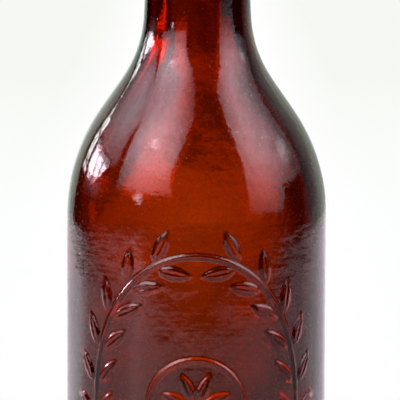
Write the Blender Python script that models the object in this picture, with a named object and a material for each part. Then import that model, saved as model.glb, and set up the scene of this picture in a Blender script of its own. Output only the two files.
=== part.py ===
"""A blob-top bottle of mould-blown glass, with the swing-lever wire closure of such bottles.

Metres, +Z up. The bottle stands on z = 0, round the Z axis, with its decorated front towards -Y. The
closure turns on a pivot along X, close under the blob, and its lever lies round the back of the neck.
"""

import math

import bmesh
import bpy
from mathutils import Vector

MM = 0.001

# Glass: the blown body, from its base to the end of its neck
BODY_RADIUS = 31.75 * MM
BODY_HEIGHT = 90.3 * MM
WALL = 3.6 * MM
SHOULDER_ARC = 44.6 * MM
SHOULDER_CONE = 9.0 * MM
NECK_ARC = 29.0 * MM
NECK_RADIUS = 13.0 * MM
NECK_TAPER = math.radians(2.2)
NECK_LENGTH = 31.5 * MM
BORE_RADIUS = 8.0 * MM
HEEL_ARC = 5.0 * MM
INNER_HEEL_ARC = 8.0 * MM
BEARING_WIDTH = 4.5 * MM
BEARING_EDGE = 1.2 * MM
KICKUP_DEPTH = 7.0 * MM
BASE_THICKNESS = 6.0 * MM

# Glass: the separately applied lip
LIP_RADIUS = 16.5 * MM
LIP_TOP_RADIUS = 15.7 * MM
LIP_HEIGHT = 18.5 * MM
LIP_TOP_ARC = 7.6 * MM
LIP_LOW_ARC = 6.5 * MM
LIP_LAND = 1.0 * MM
LIP_GRIP = 11.0 * MM
MOUTH_ARC = 1.5 * MM

# The wreath raised on the front of the body and the rosette in it, measured on the unrolled wall
WREATH_HALF_WIDTH = 27.0 * MM
WREATH_MARGIN = 6.6 * MM
LEAF_PAIRS = 11
FIRST_LEAF = 2.0 * MM
LAST_LEAF = 10.0 * MM
LEAF_LENGTH = 8.4 * MM
LEAF_HALF_WIDTH = 1.85 * MM
LEAF_LEAN = math.radians(37.0)
LEAF_CLEARANCE = 1.2 * MM
RIDGE_HALF_WIDTH = 0.75 * MM
OVAL_STEPS = 36
PETALS = 8
PETAL_LENGTH = 7.4 * MM
PETAL_HALF_WIDTH = 1.55 * MM
ROSETTE_HEART = 1.9 * MM
ROSETTE_RING = 11.5 * MM
RING_STEPS = 20
RELIEF_HEIGHT = 0.5 * MM
RELIEF_ROOT = 0.16 * MM

# Closure: wires and the play between pieces that touch
PLAY = 0.3 * MM
NECK_WIRE = 0.9 * MM
LEVER_WIRE = 1.0 * MM
BAIL_WIRE = 1.0 * MM
UNDER_LIP_GAP = 0.6 * MM
EYE_RETURN = math.radians(42.0)
TAIL_STEM = 1.6 * MM
TAIL_BEND = 3.2 * MM
TAIL_DROP = 6.0 * MM
TAIL_PITCH = 9.0 * MM

# Closure: the lever's crank, which passes its dead centre by CRANK_REST, and its thumb loop
CRANK = 7.0 * MM
CRANK_REST = math.radians(-12.0)
LEVER_REACH = 28.0 * MM
LEVER_REST = math.radians(40.0)
LOOP_DEPTH = 12.0 * MM

# Closure: the bail
BAIL_FOOT = 8.0 * MM
BAIL_TOP_HALF_WIDTH = 14.0 * MM
BAIL_BEND = 4.0 * MM

# Closure: the stopper and its washer
WASHER_THICKNESS = 2.5 * MM
WASHER_RADIUS = 11.0 * MM
WASHER_EDGE = 0.7 * MM
STUD_RADIUS = 5.0 * MM
PLUG_CLEARANCE = 1.3 * MM
PLUG_DEPTH = 3.4 * MM
PLUG_EDGE = 1.2 * MM
HEAD_RIM_RADIUS = 10.6 * MM
HEAD_RIM_HEIGHT = 2.6 * MM
HEAD_RIM_EDGE = 1.1 * MM
HEAD_COVE = 2.0 * MM
HEAD_RADIUS = 7.0 * MM
HEAD_DOME = 5.2 * MM
HOLE_HEIGHT = 6.6 * MM

# Facets
TURNED_STEPS = 40
SMALL_STEPS = 32
WIRE_SIDES = 2
COIL_STEP = math.radians(22.5)
MERGE = 1e-6


def clear_scene():
    for obj in list(bpy.data.objects):
        bpy.data.objects.remove(obj)


def principled(name, colour, roughness, metallic=0.0, transmission=0.0, ior=1.5):
    material = bpy.data.materials.new(name)
    material.use_nodes = True
    shader = material.node_tree.nodes["Principled BSDF"]
    shader.inputs["Base Color"].default_value = (*colour, 1.0)
    shader.inputs["Roughness"].default_value = roughness
    shader.inputs["Metallic"].default_value = metallic
    shader.inputs["Transmission Weight"].default_value = transmission
    shader.inputs["IOR"].default_value = ior
    material.diffuse_color = (*colour, 1.0)
    return material


def steps_between(start, end, count):
    """count + 1 even values, both ends included."""
    return [start + (end - start) * i / count for i in range(count + 1)]


def arc(radius_at, height_at, radius, start, end, count):
    """Points (r, z) on a circle, its angles in degrees from +r towards +z."""
    angles = (math.radians(a) for a in steps_between(start, end, count))
    return [(radius_at + radius * math.cos(a), height_at + radius * math.sin(a)) for a in angles]


def place(obj, material, origin, parent=None):
    """Puts an object's origin at a world point, under its parent, and gives it its material."""
    bpy.context.scene.collection.objects.link(obj)
    obj.data.materials.append(material)
    obj.parent = parent
    obj.location = Vector(origin) - (world_origin(parent) if parent else Vector())
    return obj


def world_origin(obj):
    at = obj.location.copy()
    return at + world_origin(obj.parent) if obj.parent else at


def turned(name, profile, steps, material, origin=(0.0, 0.0, 0.0), parent=None):
    """A solid of revolution. The profile, (r, z) in world heights, ends with its outer side, downwards."""
    mesh = bpy.data.meshes.new(name)
    points = [(r, 0.0, z - origin[2]) for r, z in profile]
    ends = range(len(points) - 1)
    closed = profile[0][0] > MERGE
    edges = [(i, i + 1) for i in ends] + ([(len(points) - 1, 0)] if closed else [])
    mesh.from_pydata(points, edges, [])
    obj = place(bpy.data.objects.new(name, mesh), material, origin, parent)
    screw = obj.modifiers.new("turn", "SCREW")
    screw.steps = screw.render_steps = steps
    screw.use_merge_vertices = True
    screw.merge_threshold = MERGE
    screw.use_smooth_shade = True
    return obj


def wire(name, points, radius, material, origin, parent=None):
    """A round wire along world points."""
    curve = bpy.data.curves.new(name, "CURVE")
    curve.dimensions = "3D"
    curve.bevel_depth = radius
    curve.bevel_resolution = WIRE_SIDES
    curve.use_fill_caps = True
    spline = curve.splines.new("POLY")
    spline.points.add(len(points) - 1)
    for knot, point in zip(spline.points, points):
        knot.co = (*(Vector(point) - Vector(origin)), 1.0)
    spline.use_smooth = True
    return place(bpy.data.objects.new(name, curve), material, origin, parent)


def rounded(corners, radii, count=5):
    """A line through corners, each inner one rounded to its own radius."""
    line = [Vector(corners[0])]
    for before, corner, after, radius in zip(corners, corners[1:], corners[2:], radii):
        corner = Vector(corner)
        into = (corner - Vector(before)).normalized()
        out = (Vector(after) - corner).normalized()
        turn = into.angle(out)
        inward = (out - into).normalized()
        centre = corner + inward * radius / math.cos(turn / 2)
        for a in steps_between(-turn / 2, turn / 2, count):
            along = (into + out).normalized()
            line.append(centre - inward * radius * math.cos(a) + along * radius * math.sin(a))
    return line + [Vector(corners[-1])]


def mirrored(points):
    return [Vector((-p[0], p[1], p[2])) for p in points]


def cap_arc(edge_radius, edge_height, rise, count):
    """A shallow dome from its apex, on the axis, down to its edge."""
    radius = (edge_radius**2 + rise**2) / (2 * rise)
    edge = math.degrees(math.asin(edge_radius / radius))
    line = arc(0.0, edge_height + rise - radius, radius, 90.0, 90.0 - edge, count)
    return [(0.0, edge_height + rise)] + line[1:]


class Shoulder:
    """From the top of the body to the root of the neck: an arc out, a straight run and an arc in."""

    def __init__(self, body_radius, body_arc, neck_arc, neck_radius, taper):
        # Both arcs and the run meet at one slope s, in body_arc * (1 - cos s) + SHOULDER_CONE * sin s
        # + neck_arc * (cos taper - cos s) = body_radius - neck_radius
        both = body_arc + neck_arc
        rest = body_radius - neck_radius - body_arc - neck_arc * math.cos(taper)
        lead = math.atan2(both, SHOULDER_CONE)
        slope = lead + math.asin(rest / math.hypot(both, SHOULDER_CONE))
        low_end = BODY_HEIGHT + body_arc * math.sin(slope)
        high_start = low_end + SHOULDER_CONE * math.cos(slope)
        self.neck_root = high_start + neck_arc * (math.sin(slope) - math.sin(taper))
        centre = neck_radius + neck_arc * math.cos(taper)
        centre_height = high_start + neck_arc * math.sin(slope)
        slope = math.degrees(slope)
        taper = math.degrees(taper)
        self.line = arc(body_radius - body_arc, BODY_HEIGHT, body_arc, 0.0, slope, 9)
        self.line += arc(centre, centre_height, neck_arc, 180.0 + slope, 180.0 + taper, 8)


OUTER = Shoulder(BODY_RADIUS, SHOULDER_ARC, NECK_ARC, NECK_RADIUS, NECK_TAPER)
INNER = Shoulder(
    BODY_RADIUS - WALL, SHOULDER_ARC - WALL, NECK_ARC + NECK_RADIUS - BORE_RADIUS, BORE_RADIUS, 0.0
)
LIP_BOTTOM = OUTER.neck_root + NECK_LENGTH
LIP_TOP = LIP_BOTTOM + LIP_HEIGHT
NECK_TOP = LIP_BOTTOM + LIP_GRIP
WREATH_MIDDLE = (BODY_HEIGHT + HEEL_ARC) / 2


def neck_outside(height):
    """The neck's outer radius, which narrows upwards."""
    return NECK_RADIUS - (height - OUTER.neck_root) * math.tan(NECK_TAPER)


# The neck wire's ring, whose eyes hang below it, and the lever's pivot through them
RING_HEIGHT = LIP_BOTTOM - UNDER_LIP_GAP - NECK_WIRE
RING_RADIUS = neck_outside(RING_HEIGHT - NECK_WIRE) + PLAY + NECK_WIRE
EYE_RADIUS = LEVER_WIRE + PLAY + NECK_WIRE
EYE_PITCH = 2 * NECK_WIRE + PLAY
PIVOT = Vector((0.0, 0.0, RING_HEIGHT - EYE_RADIUS))

# The bail's eyes in the lever, which it is cranked to
BAIL_EYE_RADIUS = BAIL_WIRE + PLAY + LEVER_WIRE
BAIL_EYE_PITCH = 2 * LEVER_WIRE + PLAY
CRANK_PIN = PIVOT + CRANK * Vector((0.0, math.sin(CRANK_REST), -math.cos(CRANK_REST)))

# The stopper stands on its washer, and the washer on the lip
WASHER_BOTTOM = LIP_TOP + PLAY
HEAD_BOTTOM = WASHER_BOTTOM + WASHER_THICKNESS + PLAY
STOPPER_PIN = Vector((0.0, 0.0, HEAD_BOTTOM + HOLE_HEIGHT))


def make_bottle_body(material):
    bearing_out = BODY_RADIUS - HEEL_ARC
    kickup_radius = bearing_out - BEARING_WIDTH - BEARING_EDGE
    inner_radius = BODY_RADIUS - WALL
    floor_edge = inner_radius - INNER_HEEL_ARC
    inside = cap_arc(floor_edge, BASE_THICKNESS, KICKUP_DEPTH, 5)[:-1]
    inside += arc(floor_edge, BASE_THICKNESS + INNER_HEEL_ARC, INNER_HEEL_ARC, -90.0, 0.0, 5)
    inside += INNER.line
    neck_end = [(BORE_RADIUS, NECK_TOP), (neck_outside(NECK_TOP), NECK_TOP)]
    outside = list(reversed(OUTER.line))
    outside += arc(bearing_out, HEEL_ARC, HEEL_ARC, 0.0, -90.0, 6)
    outside += [(kickup_radius + BEARING_EDGE, 0.0)]
    outside += [(kickup_radius, BEARING_EDGE / 3)]
    underside = list(reversed(cap_arc(kickup_radius, BEARING_EDGE / 3, KICKUP_DEPTH, 5)))[1:]
    body = turned("bottle_body", inside + neck_end + outside + underside, TURNED_STEPS, material)
    raised = body.modifiers.new("wreath", "BOOLEAN")
    raised.operation = "UNION"
    raised.object = make_wreath(material, body)
    return body


def wrapped(across, up, height):
    """A place on the unrolled wall, with its height over the wall, on the round body."""
    turn = across / BODY_RADIUS
    reach = BODY_RADIUS + height
    return (reach * math.sin(turn), -reach * math.cos(turn), up)


def add_leaf(solid, root, heading, length, half_width):
    """A ridged leaf that starts at its root. Its underside lies in the wall."""
    outline = [(0.0, 0.0), (0.35, -1.0), (0.75, -0.6), (1.0, 0.0), (0.75, 0.6), (0.35, 1.0)]
    corners = [(along, aside, -RELIEF_ROOT) for along, aside in outline]
    corners += [(0.25, 0.0, RELIEF_HEIGHT), (0.75, 0.0, RELIEF_HEIGHT)]
    made = []
    for along, aside, height in corners:
        ahead, left = along * length, aside * half_width
        across = root[0] + ahead * math.cos(heading) - left * math.sin(heading)
        up = root[1] + ahead * math.sin(heading) + left * math.cos(heading)
        made.append(solid.verts.new(wrapped(across, up, height)))
    sides = [(0, 1, 6), (1, 2, 7, 6), (2, 3, 7), (3, 4, 7), (4, 5, 6, 7), (5, 0, 6)]
    for corner_numbers in sides + [(5, 4, 3, 2, 1, 0)]:
        solid.faces.new([made[i] for i in corner_numbers])


def add_ridge(solid, path):
    """A closed three-sided ridge along a path on the wall. Its underside lies in the wall."""
    rings = []
    for i, (across, up) in enumerate(path):
        ahead, behind = path[(i + 1) % len(path)], path[i - 1]
        heading = math.atan2(ahead[1] - behind[1], ahead[0] - behind[0])
        aside = RIDGE_HALF_WIDTH * math.sin(heading)
        upwards = RIDGE_HALF_WIDTH * math.cos(heading)
        right = wrapped(across + aside, up - upwards, -RELIEF_ROOT)
        left = wrapped(across - aside, up + upwards, -RELIEF_ROOT)
        ring = (right, wrapped(across, up, RELIEF_HEIGHT), left)
        rings.append([solid.verts.new(point) for point in ring])
    for i, ring in enumerate(rings):
        after = rings[(i + 1) % len(rings)]
        for k in range(3):
            m = (k + 1) % 3
            solid.faces.new((ring[k], after[k], after[m], ring[m]))


def turns(count):
    """Equal angles round a circle, none of them straight up or down."""
    return [(i + 0.5) * 2 * math.pi / count for i in range(count)]


def oval(turn):
    """A place on the wreath's stem, at an angle round its middle."""
    half_height = (BODY_HEIGHT - HEEL_ARC) / 2 - WREATH_MARGIN
    return (WREATH_HALF_WIDTH * math.cos(turn), WREATH_MIDDLE + half_height * math.sin(turn))


def leaf_roots():
    """Evenly spaced places up the right half of the stem, each with the stem's heading there."""
    path = [oval(math.radians(a)) for a in range(-90, 91)]
    runs = [math.dist(a, b) for a, b in zip(path, path[1:])]
    roots = []
    for rest in steps_between(FIRST_LEAF, sum(runs) - LAST_LEAF, LEAF_PAIRS - 1):
        step = 0
        while rest > runs[step]:
            rest -= runs[step]
            step += 1
        start, end = Vector(path[step]), Vector(path[step + 1])
        heading = math.atan2(end.y - start.y, end.x - start.x)
        roots.append((start.lerp(end, rest / runs[step]), heading))
    return roots


def make_wreath(material, body):
    """A wreath of paired leaves on an oval stem, with a rosette in a ring at its middle."""
    solid = bmesh.new()
    add_ridge(solid, [oval(a) for a in turns(OVAL_STEPS)])
    for root, heading in leaf_roots():
        for lean in (-LEAF_LEAN, LEAF_LEAN):
            off = heading + math.copysign(math.pi / 2, lean)
            start = root + LEAF_CLEARANCE * Vector((math.cos(off), math.sin(off)))
            add_leaf(solid, start, heading + lean, LEAF_LENGTH, LEAF_HALF_WIDTH)
            mirror = (-start.x, start.y)
            add_leaf(solid, mirror, math.pi - heading - lean, LEAF_LENGTH, LEAF_HALF_WIDTH)
    for turn in turns(PETALS):
        root = (ROSETTE_HEART * math.cos(turn), WREATH_MIDDLE + ROSETTE_HEART * math.sin(turn))
        add_leaf(solid, root, turn, PETAL_LENGTH, PETAL_HALF_WIDTH)
    ring = [(math.cos(a), math.sin(a)) for a in turns(RING_STEPS)]
    add_ridge(solid, [(ROSETTE_RING * x, WREATH_MIDDLE + ROSETTE_RING * y) for x, y in ring])
    mesh = bpy.data.meshes.new("wreath")
    solid.to_mesh(mesh)
    solid.free()
    wreath = place(bpy.data.objects.new("wreath", mesh), material, (0.0, 0.0, 0.0), body)
    wreath.hide_render = True
    wreath.display_type = "WIRE"
    return wreath


def make_blob_lip(material):
    """The socket takes the end of the neck, and the mouth above it carries on the bore."""
    socket_low = neck_outside(LIP_BOTTOM) + PLAY
    socket_high = neck_outside(NECK_TOP) + PLAY
    socket_top = NECK_TOP + PLAY
    profile = [(socket_low, LIP_BOTTOM), (socket_high, socket_top), (BORE_RADIUS, socket_top)]
    profile += arc(BORE_RADIUS + MOUTH_ARC, LIP_TOP - MOUTH_ARC, MOUTH_ARC, 180.0, 90.0, 4)
    profile += arc(LIP_TOP_RADIUS - LIP_TOP_ARC, LIP_TOP - LIP_TOP_ARC, LIP_TOP_ARC, 90.0, 6.0, 7)
    # The lower arc runs under the lip until only its land is left round the socket
    low_centre = LIP_RADIUS - LIP_LOW_ARC
    low_end = math.acos(max(0.0, socket_low + LIP_LAND - low_centre) / LIP_LOW_ARC)
    low_height = LIP_BOTTOM + LIP_LOW_ARC * math.sin(low_end)
    profile += arc(low_centre, low_height, LIP_LOW_ARC, 0.0, -math.degrees(low_end), 7)
    return turned("blob_lip", profile, TURNED_STEPS, material)


def ring_point(angle, radius):
    return Vector((radius * math.cos(angle), radius * math.sin(angle), RING_HEIGHT))


def neck_wire_half():
    """From the twisted tail at the front, round by the eye at +X, to the middle of the back."""
    strand = NECK_WIRE + PLAY / 2
    bend = NECK_WIRE + PLAY
    line = []
    for a in steps_between(0.0, math.pi / 2, 4):
        across = strand + bend * (1 - math.cos(a))
        line.append(Vector((across, -RING_RADIUS - bend * (1 - math.sin(a)), RING_HEIGHT)))
    line += [ring_point(math.radians(a), RING_RADIUS) for a in range(-72, -4, 8)]
    turn_count = round(2 * math.pi / COIL_STEP)
    for t in steps_between(0.0, 2 * math.pi, turn_count):
        across = RING_RADIUS + EYE_PITCH * t / (2 * math.pi)
        line.append(PIVOT + Vector((across, EYE_RADIUS * math.sin(t), EYE_RADIUS * math.cos(t))))
    for a in range(6, 91, 7):
        share = min(math.radians(a) / EYE_RETURN, 1.0)
        radius = RING_RADIUS + EYE_PITCH * (1 + math.cos(math.pi * share)) / 2
        line.append(ring_point(math.radians(a), radius))
    return line


def tail_strand(phase):
    """One of the wire's two ends, twisted together along a tail that bends down in front of the neck."""
    strand = NECK_WIRE + PLAY / 2
    stem_start = Vector((0.0, -RING_RADIUS - NECK_WIRE - PLAY, RING_HEIGHT))
    length = TAIL_STEM + TAIL_BEND * math.pi / 2 + TAIL_DROP
    line = []
    for along in steps_between(0.0, length, 22):
        bent = min(max(along - TAIL_STEM, 0.0) / TAIL_BEND, math.pi / 2)
        forward = min(along, TAIL_STEM) + TAIL_BEND * math.sin(bent)
        down = TAIL_BEND * (1 - math.cos(bent))
        down += max(along - TAIL_STEM - TAIL_BEND * math.pi / 2, 0.0)
        axis_at = stem_start + Vector((0.0, -forward, -down))
        normal = Vector((0.0, -math.sin(bent), math.cos(bent)))
        twist = phase + 2 * math.pi * along / TAIL_PITCH
        line.append(axis_at + strand * (Vector((math.cos(twist), 0.0, 0.0)) + math.sin(twist) * normal))
    return line


def make_neck_wire(material):
    right = neck_wire_half()
    left = mirrored(right)
    first_end = list(reversed(tail_strand(0.0)))[:-1]
    points = first_end + right + list(reversed(left[:-1])) + tail_strand(math.pi)[1:]
    return wire("neck_wire", points, NECK_WIRE, material, PIVOT)


def heading(angle):
    """A direction in the closure's own plane, from straight down towards the back."""
    return Vector((0.0, math.sin(angle), -math.cos(angle)))


def lever_layout():
    """Where the lever's wire runs: across at its pivot, and across again past the bail's eye."""
    inner = RING_RADIUS + EYE_PITCH + NECK_WIRE + PLAY + LEVER_WIRE
    tip = PIVOT + LEVER_REACH * heading(LEVER_REST)
    reach = tip - CRANK_PIN
    arm_heading = CRANK_REST - math.asin(BAIL_EYE_RADIUS / CRANK)
    leg_heading = math.atan2(reach.y, -reach.z) + math.asin(BAIL_EYE_RADIUS / reach.length)
    turn = leg_heading - arm_heading + 2 * math.pi
    outer = inner + BAIL_EYE_PITCH * turn / (2 * math.pi)
    return inner, outer, arm_heading, leg_heading, turn, tip


def make_lever(material):
    inner, outer, arm_heading, leg_heading, turn, tip = lever_layout()
    pin_end = neck_outside(PIVOT.z - LEVER_WIRE) + 2 * PLAY
    eye = []
    for t in steps_between(0.0, turn, round(turn / COIL_STEP)):
        h = arm_heading + t
        across = inner + BAIL_EYE_PITCH * t / (2 * math.pi)
        around = Vector((0.0, -math.cos(h), -math.sin(h)))
        eye.append(CRANK_PIN + Vector((across, 0.0, 0.0)) + BAIL_EYE_RADIUS * around)
    pin = [PIVOT + Vector((pin_end, 0.0, 0.0)), PIVOT + Vector((inner, 0.0, 0.0)), eye[0]]
    half = rounded(pin, [LEVER_WIRE + PLAY])[:-1] + eye
    loop_centre = tip - LOOP_DEPTH * heading(leg_heading)
    for u in steps_between(0.0, math.pi / 2, 9):
        across = Vector((outer * math.cos(u), 0.0, 0.0))
        half.append(loop_centre + across + LOOP_DEPTH * math.sin(u) * heading(leg_heading))
    points = half + list(reversed(mirrored(half[:-1])))
    return wire("lever", points, LEVER_WIRE, material, PIVOT)


def make_bail(material, lever):
    inner, outer = lever_layout()[:2]
    side = outer + LEVER_WIRE + PLAY + BAIL_WIRE
    up = (STOPPER_PIN - CRANK_PIN).normalized()
    length = (STOPPER_PIN - CRANK_PIN).length
    plan = [(inner - LEVER_WIRE - PLAY, 0.0), (side, 0.0), (side, BAIL_FOOT)]
    plan += [(BAIL_TOP_HALF_WIDTH, length), (0.0, length)]
    corners = [CRANK_PIN + Vector((across, 0.0, 0.0)) + along * up for across, along in plan]
    half = rounded(corners, [BAIL_WIRE + PLAY, BAIL_FOOT / 2, BAIL_BEND])
    points = half + list(reversed(mirrored(half[:-1])))
    return wire("bail", points, BAIL_WIRE, material, CRANK_PIN, lever)


def make_stopper(material, bail):
    """A turned head on a stud, whose end holds the washer on, with a cross hole for the bail."""
    dome_start = HEAD_BOTTOM + HEAD_RIM_HEIGHT + HEAD_COVE
    dome_centre = HOLE_HEIGHT + HEAD_BOTTOM
    plug_radius = BORE_RADIUS - PLUG_CLEARANCE
    plug_bottom = LIP_TOP - PLUG_DEPTH
    profile = [(0.0, dome_centre + HEAD_DOME)]
    for a in steps_between(math.pi / 2, 0.0, 7)[1:]:
        profile.append((HEAD_RADIUS * math.cos(a), dome_centre + HEAD_DOME * math.sin(a)))
    cove_radius = HEAD_RADIUS + HEAD_COVE
    profile += arc(cove_radius, dome_start, HEAD_COVE, 180.0, 270.0, 4)
    rim_centre = HEAD_BOTTOM + HEAD_RIM_HEIGHT - HEAD_RIM_EDGE
    profile += arc(HEAD_RIM_RADIUS - HEAD_RIM_EDGE, rim_centre, HEAD_RIM_EDGE, 90.0, 0.0, 3)
    profile += [(HEAD_RIM_RADIUS, HEAD_BOTTOM + PLAY), (HEAD_RIM_RADIUS - PLAY, HEAD_BOTTOM)]
    profile += [(STUD_RADIUS, HEAD_BOTTOM), (STUD_RADIUS, LIP_TOP), (plug_radius, LIP_TOP - PLAY)]
    profile += arc(plug_radius - PLUG_EDGE, plug_bottom + PLUG_EDGE, PLUG_EDGE, 0.0, -90.0, 3)
    profile += [(0.0, plug_bottom)]
    stopper = turned("stopper", profile, SMALL_STEPS, material, STOPPER_PIN, bail)
    hole = bpy.data.meshes.new("stopper_hole")
    hole_radius = BAIL_WIRE + PLAY
    rings = [steps_between(0.0, 2 * math.pi, 16)[:-1]] * 2
    points = []
    for side, ring in zip((-1, 1), rings):
        reach = side * (HEAD_RIM_RADIUS + hole_radius)
        points += [(reach, hole_radius * math.cos(a), hole_radius * math.sin(a)) for a in ring]
    walls = [(i, (i + 1) % 16, (i + 1) % 16 + 16, i + 16) for i in range(16)]
    hole.from_pydata(points, [], walls + [tuple(range(15, -1, -1)), tuple(range(16, 32))])
    cutter = place(bpy.data.objects.new("stopper_hole", hole), material, STOPPER_PIN, bail)
    cutter.hide_render = True
    cutter.display_type = "WIRE"
    cut = stopper.modifiers.new("cross hole", "BOOLEAN")
    cut.operation = "DIFFERENCE"
    cut.object = cutter
    return stopper


def make_rubber_washer(material, stopper):
    inner = STUD_RADIUS + PLAY
    top = WASHER_BOTTOM + WASHER_THICKNESS
    edge = WASHER_RADIUS - WASHER_EDGE
    profile = [(inner, WASHER_BOTTOM), (inner, top)]
    profile += arc(edge, top - WASHER_EDGE, WASHER_EDGE, 90.0, 0.0, 3)
    profile += arc(edge, WASHER_BOTTOM + WASHER_EDGE, WASHER_EDGE, 0.0, -90.0, 3)
    return turned("rubber_washer", profile, SMALL_STEPS, material, STOPPER_PIN, stopper)


def build():
    clear_scene()
    glass = principled("amber_red_glass", (0.22, 0.02, 0.006), 0.04, transmission=1.0, ior=1.52)
    lip_glass = principled("applied_lip_glass", (0.22, 0.02, 0.006), 0.06, transmission=1.0, ior=1.52)
    tie = principled("tinned_tie_wire", (0.42, 0.40, 0.37), 0.42, metallic=1.0)
    steel = principled("lever_wire", (0.46, 0.44, 0.41), 0.36, metallic=1.0)
    bail_steel = principled("bail_wire", (0.46, 0.44, 0.41), 0.34, metallic=1.0)
    porcelain = principled("glazed_porcelain", (0.80, 0.77, 0.70), 0.12)
    rubber = principled("red_rubber", (0.30, 0.07, 0.045), 0.75)
    make_bottle_body(glass)
    make_blob_lip(lip_glass)
    make_neck_wire(tie)
    lever = make_lever(steel)
    bail = make_bail(bail_steel, lever)
    stopper = make_stopper(porcelain, bail)
    make_rubber_washer(rubber, stopper)


build()
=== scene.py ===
"""The looks of a blob-top bottle of dark amber-red glass, with its wire closure, on a pale studio floor."""

import math

import bmesh
import bpy
import numpy as np
from mathutils import Euler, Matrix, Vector


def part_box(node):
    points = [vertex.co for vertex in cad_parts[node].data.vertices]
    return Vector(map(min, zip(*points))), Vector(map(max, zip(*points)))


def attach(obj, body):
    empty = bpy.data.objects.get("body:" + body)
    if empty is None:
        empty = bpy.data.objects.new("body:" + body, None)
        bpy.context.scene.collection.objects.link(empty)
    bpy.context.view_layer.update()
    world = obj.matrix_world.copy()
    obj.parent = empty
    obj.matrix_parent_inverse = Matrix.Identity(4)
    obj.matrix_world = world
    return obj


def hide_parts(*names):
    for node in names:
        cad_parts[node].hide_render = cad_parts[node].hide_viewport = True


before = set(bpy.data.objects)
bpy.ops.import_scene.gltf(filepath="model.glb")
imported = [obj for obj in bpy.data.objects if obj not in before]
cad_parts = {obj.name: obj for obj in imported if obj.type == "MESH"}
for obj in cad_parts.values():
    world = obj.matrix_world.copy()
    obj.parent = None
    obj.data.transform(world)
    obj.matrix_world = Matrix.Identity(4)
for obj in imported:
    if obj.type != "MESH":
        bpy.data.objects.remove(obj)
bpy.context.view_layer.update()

MM = 0.001

# The glass, as in the CAD: arcs and lengths that its boxes don't give
WALL = 3.6 * MM
BODY_HEIGHT = 90.3 * MM
SHOULDER_ARC = 44.6 * MM
SHOULDER_CONE = 9.0 * MM
NECK_ARC = 29.0 * MM
NECK_RADIUS = 13.0 * MM
NECK_TAPER = math.radians(2.2)
BORE_RADIUS = 8.0 * MM
HEEL_ARC = 5.0 * MM
INNER_HEEL_ARC = 8.0 * MM
BEARING_WIDTH = 4.5 * MM
BEARING_EDGE = 1.2 * MM
KICKUP_DEPTH = 7.0 * MM
BASE_THICKNESS = 6.0 * MM
LIP_TOP_INSET = 0.8 * MM
LIP_TOP_ARC = 7.6 * MM
LIP_LOW_ARC = 6.5 * MM
LIP_LAND = 1.3 * MM
MOUTH_ARC = 1.5 * MM
LIP_SEAM_ARC = 0.7 * MM
BODY_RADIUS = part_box("bottle_body")[1][0]
LIP_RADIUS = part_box("blob_lip")[1][0]
LIP_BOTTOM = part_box("blob_lip")[0][2]
LIP_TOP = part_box("blob_lip")[1][2]

# The closure, as in the CAD: its wires' radii, and its turned pieces round the axis
NECK_WIRE = 0.9 * MM
LEVER_WIRE = 1.0 * MM
PLAY = 0.3 * MM
STUD_RADIUS = 5.0 * MM
PLUG_RADIUS = 6.7 * MM
PLUG_EDGE = 1.2 * MM
HEAD_RIM_HEIGHT = 2.6 * MM
HEAD_RIM_EDGE = 1.1 * MM
HEAD_COVE = 2.0 * MM
HEAD_RADIUS = 7.0 * MM
HEAD_DOME = 5.2 * MM
HOLE_HEIGHT = 6.6 * MM
HOLE_RADIUS = 1.3 * MM
WASHER_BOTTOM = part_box("rubber_washer")[0][2]
WASHER_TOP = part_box("rubber_washer")[1][2]
WASHER_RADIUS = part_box("rubber_washer")[1][0]
HEAD_RIM_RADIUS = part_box("stopper")[1][0]
PLUG_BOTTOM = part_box("stopper")[0][2]

# The inner wall of the shoulder, (r, z) in millimetres, which no straight gauge shaped, and its thicker side
INNER_WALL = ((28.15, 84.0), (28.15, 90.3), (27.46, 97.0), (25.5, 104.0), (22.2, 110.8), (18.65, 116.0),
              (15.2, 120.7), (12.6, 124.5), (11.05, 127.7), (9.8, 131.0), (8.88, 134.2), (8.3, 138.0),
              (7.95, 141.5), (7.85, 150.0), (8.0, 165.0), (8.0, 175.0))
THICKER_SIDE = 0.8 * MM
THICKEST_HEIGHT = 121 * MM
THICKER_SPREAD = 12 * MM
# Where that side begins and ends round the glass: an angle from the front, in degrees, and over how many more
THICKER_BEGINS = (15.0, 35.0)
THICKER_ENDS = (-165.0, 40.0)

# Between two heights the joints of the arcs are drawn out, in millimetres: the spread of the smoothing, how
# far and how finely it reads the line, how far beyond the two heights, and over what length it comes in there
SMOOTHED = (84.0, 165.0)
SMOOTHING = 1.7
SMOOTHING_REACH = 6.0
SMOOTHING_STEP = 0.4
SMOOTHING_MARGIN = 15.0
SMOOTHING_FADE = 5.0

# The mesh of the glass: its columns, the gaps between its rows in millimetres, and the band that carries the
# relief
COLUMNS = 96
FRONT_COLUMNS = 32
FRONT_SPLIT = 7
SEAM_OFFSETS = (-1.3, -0.7, 0.7, 1.3)
ROW_GAPS = dict(under=1.4, bearing=1.1, heel=0.8, body=0.3, shoulder=0.9, neck=1.3, lip_seam=0.2, lip=0.6,
                mouth=0.4, bore=1.5, inner_shoulder=1.2, inner_wall=1.8, inner_heel=1.3, floor=1.6)
RELIEF_LOW = 5.5 * MM
RELIEF_HIGH = 91.0 * MM
CARVED_DEPTH = 2 * MM
# Nearer points are one, smaller radii lie on the axis, and lower down the glass stays level to stand on
SAME_POINT = 0.02 * MM
ON_AXIS = 0.01 * MM
LEVEL_BELOW = 1 * MM

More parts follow.
